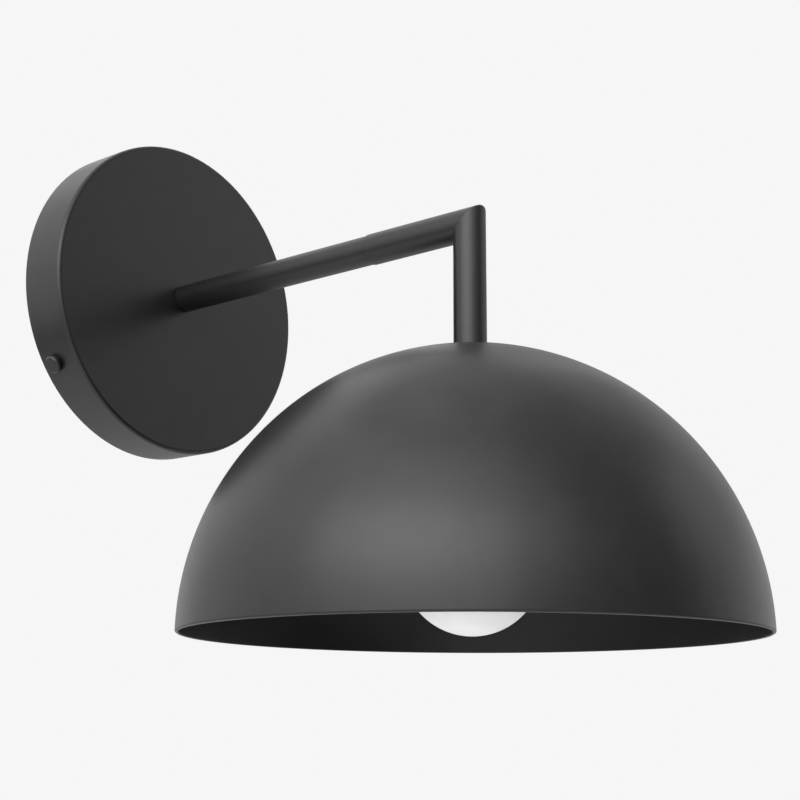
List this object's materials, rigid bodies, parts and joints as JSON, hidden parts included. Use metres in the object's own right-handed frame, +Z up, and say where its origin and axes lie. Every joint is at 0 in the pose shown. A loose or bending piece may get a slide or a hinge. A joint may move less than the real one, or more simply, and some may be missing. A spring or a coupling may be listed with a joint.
{
  "type": "wall sconce",
  "caption": "Wall sconce with a round canopy, a straight tube arm with a mitred elbow, and a hemispherical downlight shade over a screw-in bulb.",
  "frame": {"origin": "centre of the canopy's back plane on the wall, midway between the bracket's two box slots", "axes": "+Z up, +Y into the wall, the arm points away from the wall along -Y, +X to the right seen from the room"},
  "size_m": [0.25, 0.3375, 0.269],
  "materials": {
    "charcoal_coat": "matte powder coat",
    "zinc_steel": "bright zinc plate",
    "green_steel": "green dyed zinc",
    "brass": "plain rolled brass",
    "ivory_nylon": "moulded nylon",
    "black_phenolic": "moulded phenolic",
    "black_insulation": "smooth insulation",
    "white_insulation": "smooth insulation",
    "green_insulation": "smooth insulation",
    "opal_diffuser": "opal white",
    "bulb_plastic": "moulded white",
    "board_aluminium": "white solder mask on aluminium",
    "base_nickel": "nickel plated"
  },
  "bodies": {
    "fixture": {"canopy": "charcoal_coat", "arm_tube": "charcoal_coat", "elbow_arm_tube": "charcoal_coat", "elbow_drop_tube": "charcoal_coat", "shade": "charcoal_coat", "wall_bracket": "zinc_steel", "arm_nipple": "zinc_steel", "arm_lock_washer": "zinc_steel", "arm_nut": "zinc_steel", "arm_base_bush": "zinc_steel", "arm_end_bush": "zinc_steel", "coupling_nipple": "zinc_steel", "elbow_end_bush": "zinc_steel", "drop_end_bush": "zinc_steel", "shade_nipple": "zinc_steel", "shade_washer": "zinc_steel", "shade_nut": "zinc_steel", "terminal_screws": "zinc_steel", "terminal_block_screws": "zinc_steel", "ground_screw": "green_steel", "earth_lug": "brass", "terminal_clamps": "brass", "screw_shell": "brass", "centre_contact": "brass", "socket_terminals": "brass", "terminal_block": "ivory_nylon", "socket_cap": "black_phenolic", "socket_body": "black_phenolic", "live_wire": "black_insulation", "neutral_wire": "white_insulation", "earth_wire": "green_insulation"},
    "bulb": {"bulb_globe": "opal_diffuser", "bulb_housing": "bulb_plastic", "bulb_led_board": "board_aluminium", "bulb_screw_base": "base_nickel", "bulb_insulator": "black_phenolic", "bulb_tip_contact": "brass"},
    "side_screw_left": {"side_screw_left": "charcoal_coat"},
    "side_screw_right": {"side_screw_right": "charcoal_coat"}
  },
  "joints": [
    {"name": "bulb_removal", "type": "slide", "parent": "fixture", "child": "bulb", "axis": [0, 0, -1], "range_m": [0, 0.12]},
    {"name": "left_screw_travel", "type": "slide", "parent": "fixture", "child": "side_screw_left", "axis": [-0.8241, 0, -0.5664], "range_m": [0, 0.012]},
    {"name": "right_screw_travel", "type": "slide", "parent": "fixture", "child": "side_screw_right", "axis": [0.8241, 0, 0.5664], "range_m": [0, 0.012]}
  ]
}
